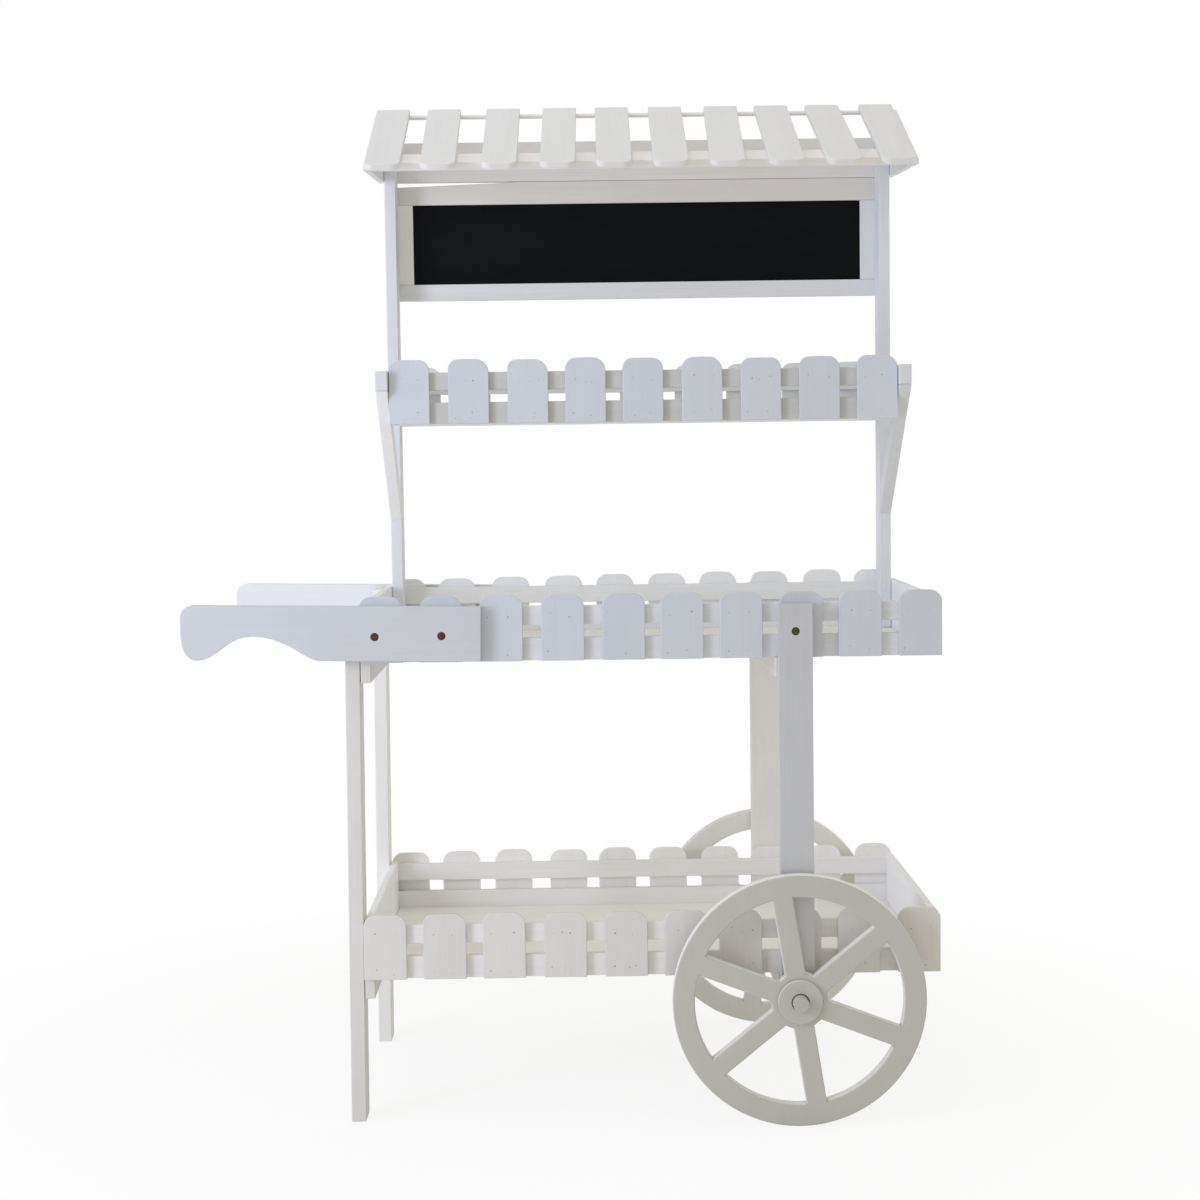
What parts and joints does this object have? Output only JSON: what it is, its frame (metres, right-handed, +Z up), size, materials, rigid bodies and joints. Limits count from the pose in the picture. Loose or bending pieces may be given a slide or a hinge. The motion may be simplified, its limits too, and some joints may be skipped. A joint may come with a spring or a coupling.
{
  "type": "flower cart stand",
  "caption": "Free-standing display cart in white painted wood, with picket-fenced trays, a raised shelf, a chalkboard, a slatted roof, push handles and two spoked wheels.",
  "frame": {"origin": "on the ground, in the middle of the cart's outline seen from above", "axes": "+X runs from the handles to the wheels, +Y from the front to the back with the chalkboard, +Z up"},
  "size_m": [1.1952, 0.6832, 1.6693],
  "materials": {
    "painted_wood": "white semi-matte paint over softwood, with the grain showing through",
    "wheel_wood": "white semi-matte paint over plywood, a little warmer than the frame",
    "chalkboard": "matte black chalkboard paint on hardboard",
    "bolt": "antique bronze, satin"
  },
  "bodies": {
    "cart": {"lower_tray_front_fence": "painted_wood", "lower_tray_back_fence": "painted_wood", "lower_tray_left_end": "painted_wood", "lower_tray_right_end": "painted_wood", "lower_tray_floor": "painted_wood", "middle_tray_front_fence": "painted_wood", "middle_tray_back_fence": "painted_wood", "middle_tray_left_end": "painted_wood", "middle_tray_right_end": "painted_wood", "middle_tray_floor": "painted_wood", "front_leg": "painted_wood", "back_leg": "painted_wood", "lower_leg_beam": "painted_wood", "middle_leg_beam": "painted_wood", "lower_wheel_beam": "painted_wood", "middle_wheel_beam": "painted_wood", "front_handle": "painted_wood", "back_handle": "painted_wood", "front_handle_bolt_1": "bolt", "front_handle_bolt_2": "bolt", "back_handle_bolt_1": "bolt", "back_handle_bolt_2": "bolt", "front_wheel_leg_bolt": "bolt", "back_wheel_leg_bolt": "bolt", "front_wheel_leg": "painted_wood", "back_wheel_leg": "painted_wood", "axle": "wheel_wood", "left_post": "painted_wood", "right_post": "painted_wood", "left_shelf_arm": "painted_wood", "right_shelf_arm": "painted_wood", "left_shelf_brace": "painted_wood", "right_shelf_brace": "painted_wood", "shelf_front_fence": "painted_wood", "shelf_back_fence": "painted_wood", "shelf_left_end": "painted_wood", "shelf_right_end": "painted_wood", "shelf_floor": "painted_wood", "header_board": "painted_wood", "chalkboard_top_rail": "painted_wood", "chalkboard_bottom_rail": "painted_wood", "chalkboard_left_stile": "painted_wood", "chalkboard_right_stile": "painted_wood", "chalkboard_panel": "chalkboard", "roof_slat_01": "painted_wood", "roof_slat_02": "painted_wood", "roof_slat_03": "painted_wood", "roof_slat_04": "painted_wood", "roof_slat_05": "painted_wood", "roof_slat_06": "painted_wood", "roof_slat_07": "painted_wood", "roof_slat_08": "painted_wood", "roof_slat_09": "painted_wood", "roof_slat_10": "painted_wood", "eave_rail": "painted_wood", "ridge_lath": "painted_wood", "left_roof_gusset": "painted_wood", "right_roof_gusset": "painted_wood"},
    "front_wheel": {"front_wheel": "wheel_wood"},
    "back_wheel": {"back_wheel": "wheel_wood"}
  },
  "joints": [
    {"name": "front_wheel_spin", "type": "hinge", "parent": "cart", "child": "front_wheel", "pos_m": [0.36388, -0.3056, 0.2], "axis": [0, 1, 0], "continuous": true},
    {"name": "back_wheel_spin", "type": "hinge", "parent": "cart", "child": "back_wheel", "pos_m": [0.36388, 0.3056, 0.2], "axis": [0, 1, 0], "continuous": true}
  ]
}
